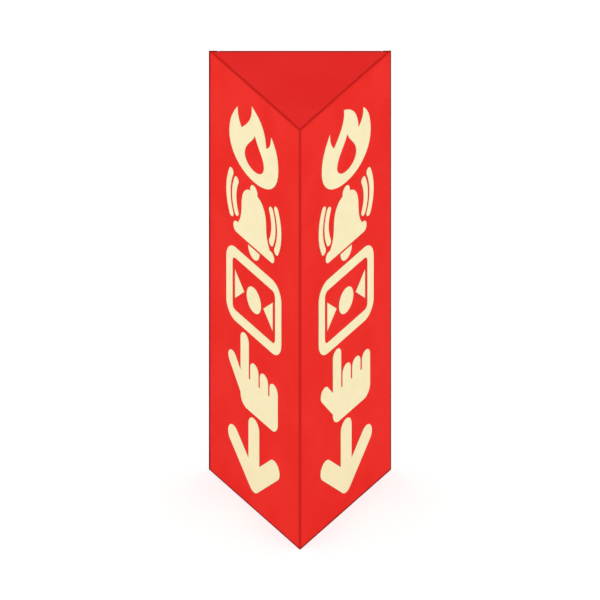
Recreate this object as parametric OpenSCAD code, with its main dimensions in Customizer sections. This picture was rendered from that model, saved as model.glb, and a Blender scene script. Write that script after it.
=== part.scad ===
// Triangular fire alarm sign for a wall. One sheet of rigid PVC is scored, folded into a closed
// three-sided prism and joined at the back left edge. Its two front faces carry pictograms in thick
// luminous ink, and two strips of foam tape hold its back panel to the wall.
// X is the width, +Y points into the wall and Z is up. The origin is the middle of the base.

/* [Sheet] */
// Width of the sign over its two back folds
sign_w = 90; // [80:1:110]
// Height of the sign
sign_h = 240; // [200:5:300]
// Thickness of the sheet
sheet_t = 1; // [0.8:0.1:1.5]
// Outside radius of every scored fold
fold_r = 0.45; // [0.3:0.05:0.55]

/* [End flaps] */
// Depth of the tabs that tuck in behind the faces
tab_h = 12; // [8:1:20]
// Clearance round an end flap and its tabs
tuck_gap = 0.2; // [0.1:0.05:0.4]
// Distance from a flap's corner to the tab's end
tab_inset = 9; // [6:1:14]
// Distance that the tab narrows by at each end
tab_bevel = 3; // [1:0.5:6]
// Distance from the sheet's back corner to the end of the flap's hinge
hinge_inset = 5; // [4:0.5:8]
// Width of the relief nick at each end of a fold
nick_w = 0.3; // [0.3:0.1:1]
// Depth of the relief nick
nick_depth = 0.6; // [0.6:0.1:2]

/* [Seam] */
// Width of the seam flap inside the back panel
seam_w = 14; // [8:1:20]
// Distance from the tuck tabs to the end of the seam flap
seam_gap = 2; // [1:0.5:5]
// Distance that the seam flap narrows by at each end
seam_bevel = 5; // [2:0.5:8]
// Thickness of the tape that joins the seam
seam_tape_t = 0.15; // [0.1:0.05:0.3]
// Distance from the seam tape to the seam flap's edges
seam_tape_margin = 1; // [0.5:0.5:2]

/* [Wall tape] */
// Thickness of the foam tape
tape_t = 1; // [0.5:0.1:2]
// Width of each strip
tape_w = 15; // [10:1:20]
// Distance from the sign's side to a strip
tape_side_margin = 9; // [5:1:14]
// Distance from the sign's top and bottom to a strip
tape_end_margin = 18; // [10:1:40]

/* [Luminous ink] */
// Thickness of the ink
ink_t = 0.2; // [0.1:0.05:0.4]
// Distance from the sign's top and bottom to the column of pictograms
ink_end_margin = 10; // [6:0.5:20]
// Distance from a face's folds to the column
ink_side_margin = 18; // [12:0.5:24]
// Least gap between one pictogram and the next
ink_gap = 2.4; // [1.5:0.1:6]

/* [Hidden] */
$fn = 64;

sheet_colour = "#ec352b";
seam_tape_colour = "#d9d4c4";
foam_colour = "#e9e9e4";
ink_colour = "#faedc0";

left = -1;
right = 1;
root3 = sqrt(3);

// The sheet's outer surface is an equilateral triangle, and this is its side to the sharp corners.
side = sign_w + 2 * (root3 - 1) * fold_r;
// Distance from the back to the sharp front corner
rise = side * root3 / 2;
// The back panel's outside is at this y, so that the sign and its tape lie over the origin.
back_y = (rise - fold_r - tape_t) / 2;

// The sheet runs clockwise in plan, from the back panel's free edge to the seam flap. A run is the
// length of a wall between the centres of its folds. The left face's is shorter than the right
// face's by as much as the seam flap needs to lie inside the back panel.
back_run = sign_w - fold_r;
face_run = side - 2 * root3 * fold_r;
seam_drop = sheet_t + seam_tape_t;
left_face_run = face_run - 2 * seam_drop / root3;

// An end flap fills the triangle inside the walls, which starts this far in from their outside.
flap_drop = sheet_t + tuck_gap;
flap_half = side / 2 - root3 * flap_drop;
hinge_half = side / 2 - hinge_inset;
tab_half = flap_half - tab_inset;

seam_end = tab_h + seam_gap;
seam_h = sign_h - 2 * seam_end;
tape_h = sign_h - 2 * tape_end_margin;

// Pictograms are drawn in a cell of this size and scaled to the column.
cell = [54, 42];
pictograms = 5;
curve_steps = 10;
column_w = side - 2 * ink_side_margin;
pitch = (sign_h - 2 * ink_end_margin + ink_gap) / pictograms;
ink_scale = min(column_w / cell.x, (pitch - ink_gap) / cell.y);

cut = 1; // how far a cutter runs past what it cuts

// Each wall has a frame in which X runs along it from the centre of the fold before it, and +Y is
// the outside. It is placed from the wall before it, so that the two share their fold.
module at_back_panel() {
  translate([-sign_w / 2, back_y - fold_r, 0]) children();
}

module past_fold(run) {
  translate([run, 0, 0]) rotate(-120) children();
}

module at_right_face() {
  at_back_panel() past_fold(back_run) children();
}

module at_left_face() {
  at_right_face() past_fold(face_run) children();
}

module at_seam() {
  at_left_face() past_fold(left_face_run) children();
}

// Local X runs along a front face, +Y into the sign and Z up, from the middle of the face's foot.
module at_face(hand) {
  if (hand == left)
    at_left_face() translate([face_run / 2, fold_r, 0]) rotate(180) children();
  else
    at_right_face() translate([face_run / 2, fold_r, 0]) rotate(180) children();
}

// The origin is in the middle of the back panel's outside, and +Y points into the wall.
module at_back() {
  translate([0, back_y, 0]) children();
}

// Draws its children at the top end, and mirrored at the bottom.
module each_end() {
  children();
  translate([0, 0, sign_h]) mirror([0, 0, 1]) children();
}

// Draws its children, which lie at positive X, and their mirror image.
module each_half() {
  children();
  mirror([1, 0, 0]) children();
}

module wall(run) {
  translate([0, fold_r - sheet_t]) square([run, sheet_t]);
}

// The back panel and both faces in plan, with the folds between them
module wall_section() {
  at_back_panel() wall(back_run);
  at_right_face() {
    circle(fold_r);
    wall(face_run);
  }
  at_left_face() {
    circle(fold_r);
    wall(left_face_run);
  }
}

// The flap inside the back panel's free edge, with its fold. Both ends are cut on a slant.
module seam_flap() {
  at_seam() translate([0, 0, seam_end]) {
    cylinder(r = fold_r, h = seam_h);
    translate([0, fold_r, 0]) rotate([90, 0, 0]) linear_extrude(sheet_t)
      polygon([[0, 0], [seam_w, seam_bevel], [seam_w, seam_h - seam_bevel], [0, seam_h]]);
  }
}

// Takes the back panel's end down to the hinge fold, with a relief nick beside it.
module hinge_cut() {
  each_half() {
    translate([0, -sheet_t - cut, sign_h - fold_r]) cube([hinge_half, sheet_t + 2 * cut, fold_r + cut]);
    translate([hinge_half, -sheet_t - cut, sign_h - nick_depth])
      cube([nick_w, sheet_t + 2 * cut, nick_depth + cut]);
  }
}

// Half of an end flap's outline, clear of the walls apart from its hinge
module half_flap() {
  polygon([
    [0, 2 * flap_drop - rise],
    [flap_half, -flap_drop],
    [hinge_half, -flap_drop],
    [hinge_half, -fold_r],
    [0, -fold_r]
  ]);
}

// Takes the flap's edge back to the tab's fold, with a relief nick at each end.
module tab_cut() {
  each_half() {
    square([tab_half, flap_drop + fold_r]);
    translate([tab_half, 0]) square([nick_w, flap_drop + nick_depth]);
  }
}

// A tuck tab, which hangs from its fold behind a face
module tab() {
  each_half() {
    translate([0, flap_drop + fold_r, sign_h - fold_r]) rotate([0, 90, 0])
      cylinder(r = fold_r, h = tab_half);
    translate([0, flap_drop + sheet_t, 0]) rotate([90, 0, 0]) linear_extrude(sheet_t)
      polygon([
        [0, sign_h - tab_h],
        [tab_half - tab_bevel, sign_h - tab_h],
        [tab_half, sign_h - fold_r],
        [0, sign_h - fold_r]
      ]);
  }
}

module end_flap() {
  at_back() each_half() translate([0, -fold_r, sign_h - fold_r]) rotate([0, 90, 0])
    cylinder(r = fold_r, h = hinge_half);
  translate([0, 0, sign_h - sheet_t]) linear_extrude(sheet_t) difference() {
    at_back() each_half() half_flap();
    for (hand = [left, right])
      at_face(hand) tab_cut();
  }
  for (hand = [left, right])
    at_face(hand) tab();
}

module folded_sheet() {
  color(sheet_colour) {
    difference() {
      linear_extrude(sign_h) wall_section();
      each_end() at_back() hinge_cut();
    }
    seam_flap();
    each_end() end_flap();
  }
}

// Thin double-sided tape between the seam flap and the back panel
module seam_tape() {
  color(seam_tape_colour) at_seam()
    translate([0, fold_r, seam_end + seam_bevel])
      cube([seam_w - seam_tape_margin, seam_tape_t, seam_h - 2 * seam_bevel]);
}

// A strip of foam tape on the back panel
module wall_tape(hand) {
  middle = hand * (sign_w / 2 - tape_side_margin - tape_w / 2);
  color(foam_colour) at_back()
    translate([middle - tape_w / 2, 0, tape_end_margin])
      cube([tape_w, tape_t, tape_h]);
}

// A line of the given width with round ends
module stroke(from, to, width) {
  run = to - from;
  length = norm(run);
  translate(from) rotate(atan2(run.y, run.x)) {
    circle(width / 2);
    translate([0, -width / 2]) square([length, width]);
    translate([length, 0]) circle(width / 2);
  }
}

// Points on part of a circle, without its first one
function arc_points(centre, radius, from, to, steps) = [
  for (i = [1 : steps])
    centre + radius * [cos(from + (to - from) * i / steps), sin(from + (to - from) * i / steps)]
];

// Part of a ring about the X axis with round ends
module arc(radius, half_angle, width) {
  high_end = radius * [cos(half_angle), sin(half_angle)];
  low_end = radius * [cos(half_angle), -sin(half_angle)];
  polygon(concat(
    arc_points([0, 0], radius + width / 2, -half_angle, half_angle, curve_steps),
    arc_points(high_end, width / 2, half_angle, half_angle + 180, curve_steps),
    arc_points([0, 0], radius - width / 2, half_angle, -half_angle, curve_steps),
    arc_points(low_end, width / 2, 180 - half_angle, 360 - half_angle, curve_steps)
  ));
}

module round_rect(size, radius) {
  square([size.x - 2 * radius, size.y], center = true);
  square([size.x, size.y - 2 * radius], center = true);
  for (x = [-1, 1], y = [-1, 1])
    translate([x * (size.x / 2 - radius), y * (size.y / 2 - radius)]) circle(radius);
}

// Points on a closed outline of Bezier curves. The list holds a corner and its two handles in turn.
function curve_point(a, b, c, d, t) =
  pow(1 - t, 3) * a + 3 * pow(1 - t, 2) * t * b + 3 * (1 - t) * t * t * c + pow(t, 3) * d;
function outline(list, steps) = [
  for (k = [0 : 3 : len(list) - 1], i = [0 : steps - 1])
    curve_point(list[k], list[k + 1], list[k + 2], list[(k + 3) % len(list)], i / steps)
];

module flame() {
  difference() {
    polygon(outline([
      [0, -21], [14, -21], [24, -14],
      [24, -3], [24, 4], [22, 9],
      [17, 13], [17, 9], [16, 6],
      [12, 4], [12, 12], [7, 18],
      [-2, 21], [-1, 14], [-6, 9],
      [-12, 4], [-15, 7], [-16, 10],
      [-16, 14], [-21, 8], [-24, 3],
      [-24, -4], [-24, -14], [-14, -21]
    ], curve_steps));
    polygon(outline([
      [0, -15], [6, -15], [10, -12],
      [10, -8], [10, -3], [4, 0],
      [1, 6], [-1, 1], [-9, -3],
      [-9, -9], [-9, -12], [-5, -15]
    ], curve_steps));
  }
}

bell_mouth = -10;
bell_rim_w = 6;
sound_centre = [0, 6.5];
sound_radii = [19.3, 25];
sound_half_angle = 28;
sound_w = 4;

module bell() {
  polygon(outline([
    [0, 17], [-9, 17], [-12, 11],
    [-12, 4], [-12, -3], [-14, -7],
    [-18, bell_mouth], [-6, bell_mouth], [6, bell_mouth],
    [18, bell_mouth], [14, -7], [12, -3],
    [12, 4], [12, 11], [9, 17]
  ], curve_steps));
  translate([0, 17.5]) circle(3.5);
  stroke([-17, bell_mouth - 1], [17, bell_mouth - 1], bell_rim_w);
  intersection() {
    translate([0, -15.5]) circle(5.5);
    translate([-6, -21]) square([12, 5.6]);
  }
  for (turn = [0, 180], radius = sound_radii)
    translate(sound_centre) rotate(turn) arc(radius, sound_half_angle, sound_w);
}

frame_w = 6;
frame_round = 9;
press_r = 7;
arrowhead = [9, 8];
arrowhead_x = 9.5;

// The face of a call point: a round button with an arrowhead on each side of it
module call_point() {
  difference() {
    round_rect(cell, frame_round);
    round_rect(cell - 2 * [frame_w, frame_w], frame_round - frame_w);
  }
  circle(press_r);
  for (turn = [0, 180])
    rotate(turn) translate([arrowhead_x, 0])
      polygon([[0, 0], [arrowhead.x, -arrowhead.y], arrowhead]);
}

finger_w = 8;
finger_pitch = 9.5;
finger_x = -9;
folded_fingers = 3;
palm = [folded_fingers * finger_pitch + finger_w, 18];
palm_round = 6;
finger_root = palm.y - cell.y / 2 - palm_round;

// A hand that points up, with its other fingers folded
module hand_up() {
  stroke([finger_x, finger_root], [finger_x, 17], finger_w);
  for (k = [1 : folded_fingers])
    translate([finger_x + k * finger_pitch, 0]) stroke([0, finger_root], [0, 5 - k], finger_w);
  translate([finger_x + (palm.x - finger_w) / 2, (palm.y - cell.y) / 2]) round_rect(palm, palm_round);
  stroke([-21, 1], [-9, -13], finger_w);
}

arrow_w = 10.5;
arrow_reach = 25;

module arrow_down() {
  foot = [0, arrow_w / 2 - cell.y / 2];
  stroke([0, cell.y / 2 - arrow_w / 2], foot, arrow_w);
  for (hand = [left, right])
    stroke(foot, foot + arrow_reach * [hand * 0.8, 0.7], arrow_w);
}

module pictogram(index) {
  if (index == 0) flame();
  if (index == 1) bell();
  if (index == 2) call_point();
  if (index == 3) hand_up();
  if (index == 4) arrow_down();
}

// The column of pictograms on one face, from the top down
module face_ink(hand) {
  color(ink_colour) at_face(hand) rotate([90, 0, 0]) linear_extrude(ink_t)
    for (index = [0 : pictograms - 1])
      translate([0, sign_h - ink_end_margin + ink_gap / 2 - (index + 0.5) * pitch])
        scale(ink_scale) pictogram(index);
}

folded_sheet();
seam_tape();
wall_tape(left);  // left_wall_tape
wall_tape(right);  // right_wall_tape
face_ink(left);  // left_face_ink
face_ink(right);  // right_face_ink
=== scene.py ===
"""Looks of the triangular fire alarm sign: red satin sheet, thick luminous ink and foam tape.

Everything is in metres in the part's own frame: X is the width, +Y points into the wall and Z is up.
"""

import math

import bmesh
import bpy
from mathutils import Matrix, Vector, noise


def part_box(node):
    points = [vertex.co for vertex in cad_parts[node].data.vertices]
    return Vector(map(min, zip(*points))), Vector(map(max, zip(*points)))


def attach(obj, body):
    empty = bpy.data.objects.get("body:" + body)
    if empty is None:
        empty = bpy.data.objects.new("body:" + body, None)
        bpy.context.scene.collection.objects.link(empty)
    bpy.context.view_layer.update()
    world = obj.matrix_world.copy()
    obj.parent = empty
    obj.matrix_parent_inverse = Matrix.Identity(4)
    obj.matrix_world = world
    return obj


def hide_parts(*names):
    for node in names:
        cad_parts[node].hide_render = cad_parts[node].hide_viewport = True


MM = 0.001

# The photograph's view. It has no perspective, and it is taken to be 600 pixels square.
IMAGE_PX = 600
ELEVATION = math.radians(30.6)
PIXELS_PER_METRE = 2026
FRONT_FOOT_PX = 549.5  # row of the front fold's foot
VIEW_DEPTH = 20.0  # how far the camera sees
STAND_OFF = 2.0  # from the sign to the camera and the lamps

FLOOR_HALF = 6.0
FLOOR_DROP = 0.05 * MM  # keeps the floor clear of the sign's foot

# Sizes of the sheet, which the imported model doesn't name
SHEET_T = 1.0 * MM
FOLD_R = 0.45 * MM

EDGE_ROUND = 0.20 * MM  # of the sheet's cut edges
SHOULDER_ROUND = 0.09 * MM  # of the ink's edges
INK_SPREAD = 0.28 * MM  # how far the ink's foot runs out past its top
TIP_REACH = 0.5  # holds a pointed tip of the foot to twice that spread
LINER_PITCH = 2.4 * MM  # of the diamond grid in the tape's adhesive

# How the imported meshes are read
SAME_PLACE = 0.002 * MM  # vertices closer than this are one
SAME_PLANE = 0.02 * MM  # a point closer than this to a plane lies on it
SAME_FLAT = math.radians(0.5)  # faces that meet at less than this are one flat
FOLD_TURN = math.radians(3)  # a face turned more than this from every flat is part of a fold
SMOOTH_BELOW = math.radians(35)  # an edge that turns less than this shades smoothly
FACING = 0.9  # a face looks along a direction if the cosine between them is more than this
SIDEWAYS = 0.5  # and across it if the cosine is less than this

# Base colours, linear
RED = (0.870, 0.0240, 0.0170, 1)
RED_DEEP = (0.835, 0.0200, 0.0140, 1)
# The flaps' two reds are darker copies of the walls' two: painted shade on the top
FLAP_RED_SHADED = (0.820, 0.0125, 0.0120, 1)
FLAP_DEEP_SHADED = (0.800, 0.0110, 0.0105, 1)
RED_GRAIN = (0.790, 0.0170, 0.0120, 1)
# RED_FOLD is darker than the walls' red as painted shade on the folds, and it is also the second tone of
# the cut edge's random strokes
RED_FOLD = (0.680, 0.0150, 0.0105, 1)
# A darker red for painted shade in bands along the folds and the walls' top rim, and for the folds' fine
# stress marks
RED_STRESS_MARK_AND_SHADE = (0.560, 0.0110, 0.0075, 1)
RED_CUT = (0.680, 0.0130, 0.0095, 1)
# A dark red for painted shade along the back and hinge folds, at the foot, and on the cut edge's back and
# closing side
RED_CREASE_SHADE = (0.280, 0.0075, 0.0055, 1)
INK = (0.985, 0.875, 0.560, 1)
INK_SHADE = (0.910, 0.790, 0.455, 1)
# The ink's thin edge: red showing through, with painted shade that makes it darker than the red
INK_THIN_AND_SHADE = (0.560, 0.060, 0.030, 1)
FOAM = (0.82, 0.82, 0.79, 1)
FOAM_PORE = (0.64, 0.64, 0.61, 1)
ADHESIVE = (0.87, 0.86, 0.80, 1)
ADHESIVE_SHADE = (0.84, 0.83, 0.76, 1)
FLOOR_GREY = (0.45, 0.45, 0.45, 1)
WHITE = (1, 1, 1, 1)

# Levels of light. At 1 a white surface that faces the light renders white.
WORLD_LEVEL = 0.62
FACE_LAMP_LEVEL = 0.68
BACK_LAMP_LEVEL = 0.30
FLOOR_LIFT = 0.66  # what the floor adds of its own where it is seen directly

# Lamps, in degrees
LAMP_SPREAD = 50
FACE_LAMP = {"azimuth": 60, "elevation": 5}
BACK_LAMP = {"azimuth": 145, "elevation": 8}

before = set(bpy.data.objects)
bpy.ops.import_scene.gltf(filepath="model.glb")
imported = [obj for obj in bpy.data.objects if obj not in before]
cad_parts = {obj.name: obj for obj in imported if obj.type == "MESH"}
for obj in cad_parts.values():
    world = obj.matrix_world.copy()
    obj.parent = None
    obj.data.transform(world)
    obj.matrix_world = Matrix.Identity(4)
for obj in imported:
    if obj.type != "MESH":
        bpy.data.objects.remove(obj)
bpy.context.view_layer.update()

sheet_low, sheet_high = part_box("folded_sheet")
sign_h = sheet_high.z
back_y = sheet_high.y
front_y = sheet_low.y

# Outward directions of the two front faces, and how far their planes are from the Z axis
FACE_OUT = {
    "left": Vector((-math.sqrt(3) / 2, -0.5, 0)),
    "right": Vector((math.sqrt(3) / 2, -0.5, 0)),
}
face_reach = (FOLD_R - front_y) / 2

# Directions that every flat of the sheet looks along or against
FLAT_DIRECTIONS = [Vector((1, 0, 0)), Vector((0, 1, 0)), Vector((0, 0, 1)), *FACE_OUT.values()]

# The folds, as a point on the middle line of each, and the axes that cross such lines
front_fold = Vector((0, front_y + FOLD_R, 0))
back_folds = [Vector((x, back_y - FOLD_R, 0)) for x in (sheet_low.x + FOLD_R, sheet_high.x - FOLD_R)]
hinge_folds = [Vector((0, back_y - FOLD_R, z)) for z in (FOLD_R, sign_h - FOLD_R)]
ACROSS_UPRIGHT = (1, 1, 0)
ACROSS_HINGE = (0, 1, 1)

# Sockets of a mix node for colours, which share their names with those for numbers
MIX_FACTOR, MIX_FIRST, MIX_SECOND = 0, 6, 7
MIX_RESULT = 2


class Graph:
    """A node tree, with a short call for what materials and the world both need"""

    def __init__(self, tree):
        self.tree = tree

    def feed(self, socket, value):
        """Sets a socket to a plain value, or links it to another node's socket"""
        if isinstance(value, bpy.types.NodeSocket):
            self.tree.links.new(value, socket)
        else:
            socket.default_value = value

    def node(self, kind, inputs=(), **settings):
        made = self.tree.nodes.new(kind)
        for name, value in settings.items():
            setattr(made, name, value)
        for key, value in dict(inputs).items():
            self.feed(made.inputs[key], value)
        return made

    def calculate(self, operation, first, second=0.0):
        return self.node("ShaderNodeMath", {0: first, 1: second}, operation=operation).outputs[0]

    def seen_directly(self):
        """1 for the rays that should see a white room: from the camera, off gloss or through glass"""
        path = self.node("ShaderNodeLightPath").outputs
        either = self.calculate("MAXIMUM", path["Is Camera Ray"], path["Is Glossy Ray"])
        return self.calculate("MAXIMUM", either, path["Is Transmission Ray"])


class Surface(Graph):
    """A material's nodes, with a short call for each kind of pattern"""

    def __init__(self, name, shine):
        self.material = bpy.data.materials.new(name)
        self.material.use_nodes = True
        super().__init__(self.material.node_tree)
        self.shader = self.tree.nodes["Principled BSDF"]
        self.shader.inputs["Specular IOR Level"].default_value = shine
        self.place = self.node("ShaderNodeTexCoord").outputs["Object"]

    def axis(self, name):
        return self.node("ShaderNodeSeparateXYZ", {0: self.place}).outputs[name]

    def stretched(self, scale):
        """The place times a scale for each axis"""
        inputs = {0: self.place, 1: scale}
        return self.node("ShaderNodeVectorMath", inputs, operation="MULTIPLY").outputs[0]

    def noise(self, size, detail=2.0, stretch=(1, 1, 1)):
        """Noise from 0 to 1 whose patches measure about that size"""
        inputs = {"Vector": self.stretched(stretch), "Scale": 1 / size, "Detail": detail}
        return self.node("ShaderNodeTexNoise", inputs).outputs[0]

    def cells(self, size):
        """Distance from the middle of cells of about that size, in shares of it"""
        inputs = {"Vector": self.place, "Scale": 1 / size}
        return self.node("ShaderNodeTexVoronoi", inputs).outputs["Distance"]

    def ribs(self, direction, pitch):
        """A wave from -1 to 1 along a direction"""
        inputs = {0: self.place, 1: direction}
        along = self.node("ShaderNodeVectorMath", inputs, operation="DOT_PRODUCT").outputs["Value"]
        return self.calculate("SINE", self.calculate("MULTIPLY", along, 2 * math.pi / pitch))

    def fold_distance(self, point, across):
        """Distance from the middle line of a fold"""
        inputs = {0: self.stretched(across), 1: point}
        return self.node("ShaderNodeVectorMath", inputs, operation="DISTANCE").outputs["Value"]

    def ramp(self, value, low, high, to_low=0.0, to_high=1.0):
        """Turns a range of values into another, smoothly and with no overshoot"""
        inputs = {"Value": value, "From Min": low, "From Max": high, "To Min": to_low, "To Max": to_high}
        return self.node("ShaderNodeMapRange", inputs, interpolation_type="SMOOTHSTEP").outputs["Result"]

    def mix(self, factor, first, second):
        inputs = {MIX_FACTOR: factor, MIX_FIRST: first, MIX_SECOND: second}
        return self.node("ShaderNodeMix", inputs, data_type="RGBA").outputs[MIX_RESULT]

    def bump(self, height, depth, under=None):
        """A normal that stands for relief of that depth, over the relief under it"""
        inputs = {"Height": height, "Distance": depth, "Strength": 1.0}
        if under is not None:
            inputs["Normal"] = under
        return self.node("ShaderNodeBump", inputs).outputs["Normal"]

    def paint(self, colour):
        self.colour = colour
        self.feed(self.shader.inputs["Base Color"], colour)

    def darken(self, distance, full, none, dark):
        """Paints a dark colour over a line, whole up to one distance from it and gone at another"""
        near = self.ramp(distance, full, none, to_low=1.0, to_high=0.0)
        self.paint(self.mix(near, self.colour, dark))

    def finish(self, colour, roughness, normal):
        self.paint(colour)
        self.feed(self.shader.inputs["Roughness"], roughness)
        self.feed(self.shader.inputs["Normal"], normal)
        return self.material


def sheet_surface(name, red, deep):
    """Rigid sheet with the fine drawn lines and faint orange peel of a calendered face"""
    surface = Surface(name, shine=0.05)
    clouds = surface.noise(28 * MM, detail=3.0)
    grain = surface.noise(0.35 * MM)
    drawn = surface.noise(0.6 * MM, stretch=(1.6, 1.6, 0.03))
    peel = surface.noise(1.6 * MM)
    colour = surface.mix(surface.ramp(clouds, 0.35, 0.65), red, deep)
    colour = surface.mix(surface.ramp(grain, 0.35, 0.75, to_high=0.6), colour, RED_GRAIN)
    normal = surface.bump(drawn, 0.015 * MM)
    normal = surface.bump(peel, 0.06 * MM, under=normal)
    normal = surface.bump(grain, 0.010 * MM, under=normal)
    surface.finish(colour, surface.ramp(clouds, 0.3, 0.7, 0.55, 0.65), normal)
    return surface


def red_wall_material():
    """The front walls' outside, with painted shade: a darker band along the front fold and the top rim, and
    a darker one still by the back folds and at the foot
    """
    surface = sheet_surface("red_wall", RED, RED_DEEP)
    height = surface.axis("Z")
    from_top = surface.calculate("SUBTRACT", sign_h, height)
    from_front = surface.fold_distance(front_fold, ACROSS_UPRIGHT)
    # Painted shade along the front fold and the top rim
    surface.darken(from_front, 0.45 * MM, 1.0 * MM, RED_STRESS_MARK_AND_SHADE)
    surface.darken(from_top, 0.2 * MM, 0.4 * MM, RED_STRESS_MARK_AND_SHADE)
    # Painted shade at the foot and by the back folds
    surface.darken(height, 0.7 * MM, 1.2 * MM, RED_CREASE_SHADE)
    for fold in back_folds:
        surface.darken(surface.fold_distance(fold, ACROSS_UPRIGHT), 0.9 * MM, 1.4 * MM, RED_CREASE_SHADE)
    return surface.material


def red_back_material():
    """The back panel's outside, with painted shade in a band beside its folds"""
    surface = sheet_surface("red_back", RED, RED_DEEP)
    for folds, across in ((back_folds, ACROSS_UPRIGHT), (hinge_folds, ACROSS_HINGE)):
        for fold in folds:
            surface.darken(surface.fold_distance(fold, across), 0.5 * MM, 0.9 * MM, RED_STRESS_MARK_AND_SHADE)
    return surface.material


def red_flap_material():
    """The end flaps' outside, in a darker copy of the walls' red and darker still beside their hinge folds,
    both painted shade
    """
    surface = sheet_surface("red_flap_shaded", FLAP_RED_SHADED, FLAP_DEEP_SHADED)
    for fold in hinge_folds:
        surface.darken(surface.fold_distance(fold, ACROSS_HINGE), 0.9 * MM, 1.7 * MM, RED_CREASE_SHADE)
    return surface.material


def red_fold_material():
    """The stretched skin over a scored fold, with fine stress marks. Its red is painted shade, darker than
    the walls', with more painted shade at the back and the foot
    """
    surface = Surface("red_fold", shine=0.05)
    marks = surface.noise(0.5 * MM, detail=3.0, stretch=(1, 1, 3))
    colour = surface.mix(surface.ramp(marks, 0.3, 0.7), RED_FOLD, RED_STRESS_MARK_AND_SHADE)
    surface.finish(colour, surface.ramp(marks, 0.3, 0.7, 0.45, 0.6), surface.bump(marks, 0.02 * MM))
    from_back = surface.calculate("SUBTRACT", back_y, surface.axis("Y"))
    surface.darken(from_back, 1.0 * MM, 2.0 * MM, RED_CREASE_SHADE)
    surface.darken(surface.axis("Z"), 0.5 * MM, 0.9 * MM, RED_CREASE_SHADE)
    return surface.material


def red_cut_material():
    """A sawn and scraped edge of the sheet, with painted shade that darkens it at the foot, the back and
    the side where it closes
    """
    surface = Surface("red_cut", shine=0.02)
    strokes = surface.noise(0.25 * MM, stretch=(1, 1, 0.4))
    colour = surface.mix(surface.ramp(strokes, 0.3, 0.75), RED_CUT, RED_FOLD)
    surface.finish(colour, surface.ramp(strokes, 0.3, 0.7, 0.6, 0.8), surface.bump(strokes, 0.03 * MM))
    from_side = surface.calculate("SUBTRACT", surface.axis("X"), sheet_low.x)
    from_back = surface.calculate("SUBTRACT", back_y, surface.axis("Y"))
    surface.darken(surface.axis("Z"), 0.3 * MM, 0.6 * MM, RED_CREASE_SHADE)
    surface.darken(from_side, 0.3 * MM, 0.6 * MM, RED_CREASE_SHADE)
    surface.darken(from_back, 1.0 * MM, 1.3 * MM, RED_CREASE_SHADE)
    return surface.material


def ink_material():
    """Luminous ink: coarse pale powder in a clear binder, printed through a mesh"""
    surface = Surface("luminous_ink", shine=0.15)
    powder = surface.noise(0.16 * MM)
    clouds = surface.noise(7 * MM, detail=3.0)
    crystals = surface.cells(0.35 * MM)
    colour = surface.mix(surface.ramp(clouds, 0.3, 0.75, to_high=0.4), INK, INK_SHADE)
    colour = surface.mix(surface.ramp(powder, 0.45, 0.75, to_high=0.9), colour, INK_SHADE)
    roughness = surface.ramp(powder, 0.3, 0.7, 0.52, 0.68)
    normal = surface.bump(powder, 0.03 * MM)
    normal = surface.bump(crystals, 0.04 * MM, under=normal)
    return surface.finish(colour, roughness, normal)


def ink_edge_material():
    """The ink's sloped edge, so thin that the red shows through it, and darkened below the red by painted
    shade
    """
    surface = Surface("ink_edge", shine=0.1)
    powder = surface.noise(0.16 * MM)
    colour = surface.mix(surface.ramp(powder, 0.5, 0.75, to_high=0.35), INK_THIN_AND_SHADE, INK_SHADE)
    roughness = surface.ramp(powder, 0.3, 0.7, 0.52, 0.68)
    return surface.finish(colour, roughness, surface.bump(powder, 0.03 * MM))


def foam_material():
    """The fine closed cells of a foam tape's cut side"""
    surface = Surface("tape_foam", shine=0.1)
    cells = surface.cells(0.18 * MM)
    colour = surface.mix(surface.ramp(cells, 0.25, 0.6), FOAM, FOAM_PORE)
    roughness = surface.ramp(cells, 0.2, 0.6, 0.75, 0.9)
    return surface.finish(colour, roughness, surface.bump(cells, -0.03 * MM))


def adhesive_material():
    """The tacky film on a tape's face, with the diamond grid that its liner pressed in"""
    surface = Surface("tape_adhesive", shine=0.15)
    rising, falling = (surface.ribs((1, 0, slope), LINER_PITCH) for slope in (1, -1))
    pressed = surface.ramp(surface.calculate("MAXIMUM", rising, falling), 0.8, 1.0)
    pebbles = surface.noise(0.4 * MM)
    colour = surface.mix(surface.ramp(pebbles, 0.35, 0.7, to_high=0.6), ADHESIVE, ADHESIVE_SHADE)
    colour = surface.mix(pressed, colour, ADHESIVE_SHADE)
    roughness = surface.ramp(pebbles, 0.3, 0.7, 0.45, 0.55)
    normal = surface.bump(pressed, -0.02 * MM)
    normal = surface.bump(pebbles, 0.010 * MM, under=normal)
    return surface.finish(colour, roughness, normal)


def tissue_tape_material():
    """Thin tissue tape with loose fibres in its adhesive"""
    surface = Surface("tissue_tape", shine=0.2)
    fibres = surface.noise(0.8 * MM, detail=4.0, stretch=(1, 1, 0.2))
    colour = surface.mix(surface.ramp(fibres, 0.4, 0.6), ADHESIVE_SHADE, FOAM)
    roughness = surface.ramp(fibres, 0.3, 0.7, 0.4, 0.6)
    return surface.finish(colour, roughness, surface.bump(fibres, 0.02 * MM))


def welded_copy(node):
    """The node's mesh with one vertex at each place and one face for each flat"""
    mesh = bmesh.new()
    mesh.from_mesh(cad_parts[node].data)
    bmesh.ops.remove_doubles(mesh, verts=mesh.verts, dist=SAME_PLACE)
    bmesh.ops.dissolve_limit(mesh, angle_limit=SAME_FLAT, verts=mesh.verts, edges=mesh.edges)
    return mesh


def round_edges(mesh, edges, offset, segments, **settings):
    """Rounds edges, and welds the corners that this leaves in one place"""
    settings.update(offset=offset, segments=segments, profile=0.5, affect="EDGES")
    bmesh.ops.bevel(mesh, geom=edges, **settings)
    bmesh.ops.remove_doubles(mesh, verts=mesh.verts, dist=SAME_PLACE)


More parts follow.
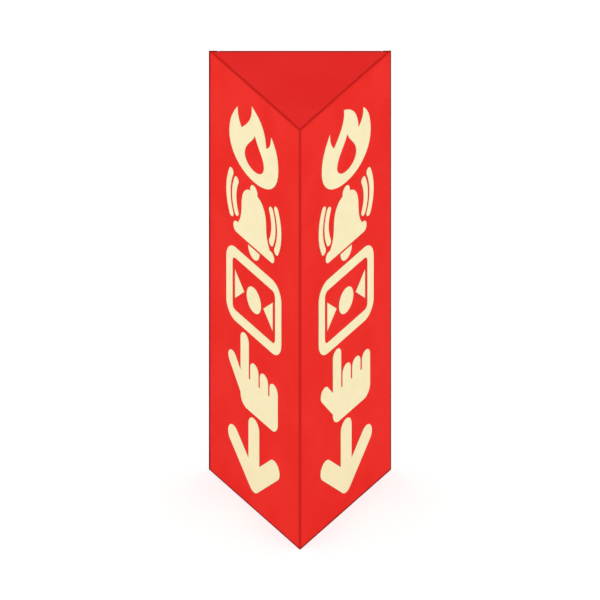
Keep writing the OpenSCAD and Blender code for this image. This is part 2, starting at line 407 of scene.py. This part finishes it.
def keep_flats_flat(piece):
    """Gives each vertex its largest faces' normal, so that a flat shades evenly up to a rounded edge"""
    piece.modifiers.new("flats", "WEIGHTED_NORMAL").keep_sharp = True
    evaluated = piece.evaluated_get(bpy.context.evaluated_depsgraph_get())
    rounded = piece.data
    piece.data = bpy.data.meshes.new_from_object(evaluated)
    piece.modifiers.clear()
    bpy.data.meshes.remove(rounded)
    piece.data.name = piece.name


def add_piece(name, mesh, materials, node):
    """Makes the mesh a piece that stands for a node and rides on the root body"""
    data = bpy.data.meshes.new(name)
    mesh.to_mesh(data)
    mesh.free()
    data.shade_smooth()
    data.set_sharp_from_angle(angle=SMOOTH_BELOW)
    for material in materials:
        data.materials.append(material)
    piece = bpy.data.objects.new(name, data)
    bpy.context.scene.collection.objects.link(piece)
    keep_flats_flat(piece)
    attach(piece, "root")
    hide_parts(node)


# Finishes of the folded sheet, in the order of its materials
WALL, BACK, FLAP, FOLD, CUT = range(5)


def depth(point):
    """How deep a point lies behind the nearest of the planes of the two front faces and the back"""
    return min(back_y - point.y, *(face_reach - out.dot(point) for out in FACE_OUT.values()))


def sheet_finish(face):
    """Which finish a face has: the outside of a front wall, the back or a flap, a fold or a cut edge"""
    if max(abs(face.normal.dot(direction)) for direction in FLAT_DIRECTIONS) < math.cos(FOLD_TURN):
        return FOLD
    deepest = max(depth(vertex.co) for vertex in face.verts)
    if deepest < SAME_PLANE:
        return BACK if face.normal.y > FACING else WALL
    return FLAP if abs(face.normal.z) > FACING and deepest > SHEET_T + SAME_PLANE else CUT


def is_rim(edge):
    """Whether an edge parts an outside flat from a cut, apart from the short edges in nicks"""
    finishes = sorted(face.material_index for face in edge.link_faces)
    return finishes in ([WALL, CUT], [BACK, CUT], [FLAP, CUT]) and edge.calc_length() > SHEET_T


def folded_sheet():
    mesh = welded_copy("folded_sheet")
    for face in mesh.faces:
        face.material_index = sheet_finish(face)
    rims = [edge for edge in mesh.edges if is_rim(edge)]
    round_edges(mesh, rims, EDGE_ROUND, segments=2, material=CUT)
    materials = [
        red_wall_material(),
        red_back_material(),
        red_flap_material(),
        red_fold_material(),
        red_cut_material(),
    ]
    add_piece("red_folded_sheet", mesh, materials, "folded_sheet")


def spread_foot(mesh, out):
    """Runs the ink's walls out to a foot on the sheet, as wet ink does"""
    on_sheet = [vertex for vertex in mesh.verts if vertex.co.dot(out) < face_reach + SAME_PLANE]
    walls = {
        vertex: [face.normal.copy() for face in vertex.link_faces if abs(face.normal.dot(out)) < SIDEWAYS]
        for vertex in on_sheet
    }
    for vertex, normals in walls.items():
        push = sum(normals, Vector())
        reach = max(push.length / len(normals), TIP_REACH)
        vertex.co += push.normalized() * (INK_SPREAD / reach)
    mesh.normal_update()


def face_ink(hand, ink, edge_ink):
    """The print on one face, with a sloped edge and rounded shoulders"""
    mesh = welded_copy(f"{hand}_face_ink")
    out = FACE_OUT[hand]
    spread_foot(mesh, out)
    for face in mesh.faces:
        face.material_index = 0 if abs(face.normal.dot(out)) > FACING else 1
    shoulders = [
        edge
        for edge in mesh.edges
        if sorted(face.normal.dot(out) > FACING for face in edge.link_faces) == [False, True]
    ]
    round_edges(mesh, shoulders, SHOULDER_ROUND, segments=3)
    add_piece(f"{hand}_luminous_ink", mesh, [ink, edge_ink], f"{hand}_face_ink")


# Rings round a tape as (distance from the sheet, pulled in by, roughened by), in shares of its thickness
TAPE_RINGS = [
    (0.00, 0.00, 0.00),
    (0.07, 0.00, 0.02),
    (0.10, 0.05, 0.05),
    (0.30, 0.06, 0.09),
    (0.50, 0.06, 0.10),
    (0.70, 0.06, 0.09),
    (0.90, 0.05, 0.05),
    (0.93, 0.00, 0.02),
    (1.00, 0.00, 0.00),
]
FOAM_LAYERS = range(2, 6)  # of the layers between two rings, from the sheet out. The others are film.
TAPE_STEP = 0.5 * MM
TAPE_CORNER = 0.4 * MM
TEAR_SIZE = 0.6 * MM  # of what the knife tore out of the foam's side


def tape_outline(low, high):
    """Points round a strip, as (x, z, outward x, outward z), about a step apart"""
    corners = [(low.x, low.z), (high.x, low.z), (high.x, high.z), (low.x, high.z)]
    points = []
    for (x, z), (next_x, next_z) in zip(corners, corners[1:] + corners[:1]):
        run = math.hypot(next_x - x, next_z - z)
        along = ((next_x - x) / run, (next_z - z) / run)
        out = (along[1], -along[0])
        steps = round((run - 2 * TAPE_CORNER) / TAPE_STEP)
        for step in range(steps + 1):
            reach = TAPE_CORNER + (run - 2 * TAPE_CORNER) * step / steps
            points.append((x + along[0] * reach, z + along[1] * reach, *out))
    return points


def wall_tape(hand, foam, adhesive):
    """A strip of foam between two films of adhesive, with the ragged side that a knife leaves"""
    low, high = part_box(f"{hand}_wall_tape")
    thick = high.y - low.y
    outline = tape_outline(low, high)
    mesh = bmesh.new()
    rings = []
    for share, pulled, rough in TAPE_RINGS:
        ring = []
        for x, z, out_x, out_z in outline:
            y = low.y + share * thick
            jitter = abs(noise.noise(Vector((x, y, z)) / TEAR_SIZE))
            inward = (pulled + rough * jitter) * thick
            ring.append(mesh.verts.new((x - out_x * inward, y, z - out_z * inward)))
        rings.append(ring)
    for layer, (lower, upper) in enumerate(zip(rings, rings[1:])):
        for index in range(len(outline)):
            after = (index + 1) % len(outline)
            side = mesh.faces.new((lower[index], lower[after], upper[after], upper[index]))
            side.material_index = 0 if layer in FOAM_LAYERS else 1
    for ring in (rings[0], list(reversed(rings[-1]))):
        mesh.faces.new(ring).material_index = 1
    bmesh.ops.recalc_face_normals(mesh, faces=mesh.faces)
    add_piece(f"{hand}_foam_tape", mesh, [foam, adhesive], f"{hand}_wall_tape")


def dress_seam_tape():
    """Gives the seam tape's own solid, which is hidden in the seam, its material"""
    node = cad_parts["seam_tape"]
    node.data.materials.clear()
    node.data.materials.append(tissue_tape_material())


def pale_floor():
    """A white floor that keeps the sign's soft shadow"""
    corners = [(x * FLOOR_HALF, y * FLOOR_HALF, 0) for x, y in ((-1, -1), (1, -1), (1, 1), (-1, 1))]
    data = bpy.data.meshes.new("floor")
    data.from_pydata(corners, [], [(0, 1, 2, 3)])
    floor = bpy.data.objects.new("floor", data)
    floor.location.z = -FLOOR_DROP
    bpy.context.scene.collection.objects.link(floor)
    surface = Surface("pale_floor", shine=0.0)
    surface.paint(FLOOR_GREY)
    surface.shader.inputs["Roughness"].default_value = 1.0
    surface.shader.inputs["Emission Color"].default_value = WHITE
    lift = surface.calculate("MULTIPLY", surface.seen_directly(), FLOOR_LIFT)
    surface.feed(surface.shader.inputs["Emission Strength"], lift)
    data.materials.append(surface.material)


def white_room():
    """A world that lights the sign evenly from all round and looks white"""
    world = bpy.data.worlds.new("white_room")
    world.use_nodes = True
    bpy.context.scene.world = world
    graph = Graph(world.node_tree)
    background = graph.tree.nodes["Background"]
    background.inputs["Color"].default_value = WHITE
    inputs = {"Value": graph.seen_directly(), "To Min": WORLD_LEVEL, "To Max": 1.0}
    graph.feed(background.inputs["Strength"], graph.node("ShaderNodeMapRange", inputs).outputs["Result"])


def soft_lamp(name, level, azimuth, elevation):
    """A wide, distant lamp, in front of the sign at azimuth 0. A surface that faces it gets the level."""
    light = bpy.data.lights.new(name, "SUN")
    light.energy = level * math.pi
    light.angle = math.radians(LAMP_SPREAD)
    lamp = bpy.data.objects.new(name, light)
    turn, lift = math.radians(azimuth), math.radians(elevation)
    towards = Vector((math.sin(turn) * math.cos(lift), -math.cos(turn) * math.cos(lift), math.sin(lift)))
    lamp.location = towards * STAND_OFF
    lamp.rotation_mode = "QUATERNION"
    lamp.rotation_quaternion = towards.to_track_quat("Z", "Y")
    bpy.context.scene.collection.objects.link(lamp)


def studio_lamps():
    """One lamp squarely on each front face, and weaker ones on the back"""
    for name, hand in (("left", -1), ("right", 1)):
        soft_lamp(f"{name}_lamp", FACE_LAMP_LEVEL, hand * FACE_LAMP["azimuth"], FACE_LAMP["elevation"])
        soft_lamp(f"{name}_back_lamp", BACK_LAMP_LEVEL, hand * BACK_LAMP["azimuth"], BACK_LAMP["elevation"])


def set_camera():
    """The photograph's view: from straight in front, a little above, without perspective"""
    camera = bpy.data.cameras.new("camera")
    camera.type = "ORTHO"
    camera.ortho_scale = IMAGE_PX / PIXELS_PER_METRE
    camera.clip_end = VIEW_DEPTH
    back = Vector((0, -math.cos(ELEVATION), math.sin(ELEVATION)))
    up = Vector((0, math.sin(ELEVATION), math.cos(ELEVATION)))
    foot = Vector((0, front_y, 0))
    lift = (FRONT_FOOT_PX - IMAGE_PX / 2) / PIXELS_PER_METRE
    seen = bpy.data.objects.new("camera", camera)
    seen.location = foot + up * lift + back * STAND_OFF
    seen.rotation_mode = "QUATERNION"
    seen.rotation_quaternion = back.to_track_quat("Z", "Y")
    bpy.context.scene.collection.objects.link(seen)
    bpy.context.scene.camera = seen


def dress_sign():
    folded_sheet()
    ink = ink_material()
    edge_ink = ink_edge_material()
    foam = foam_material()
    adhesive = adhesive_material()
    for hand in FACE_OUT:
        face_ink(hand, ink, edge_ink)
        wall_tape(hand, foam, adhesive)
    dress_seam_tape()


set_camera()
dress_sign()
pale_floor()
white_room()
studio_lamps()
bpy.context.scene.view_settings.view_transform = "Standard"
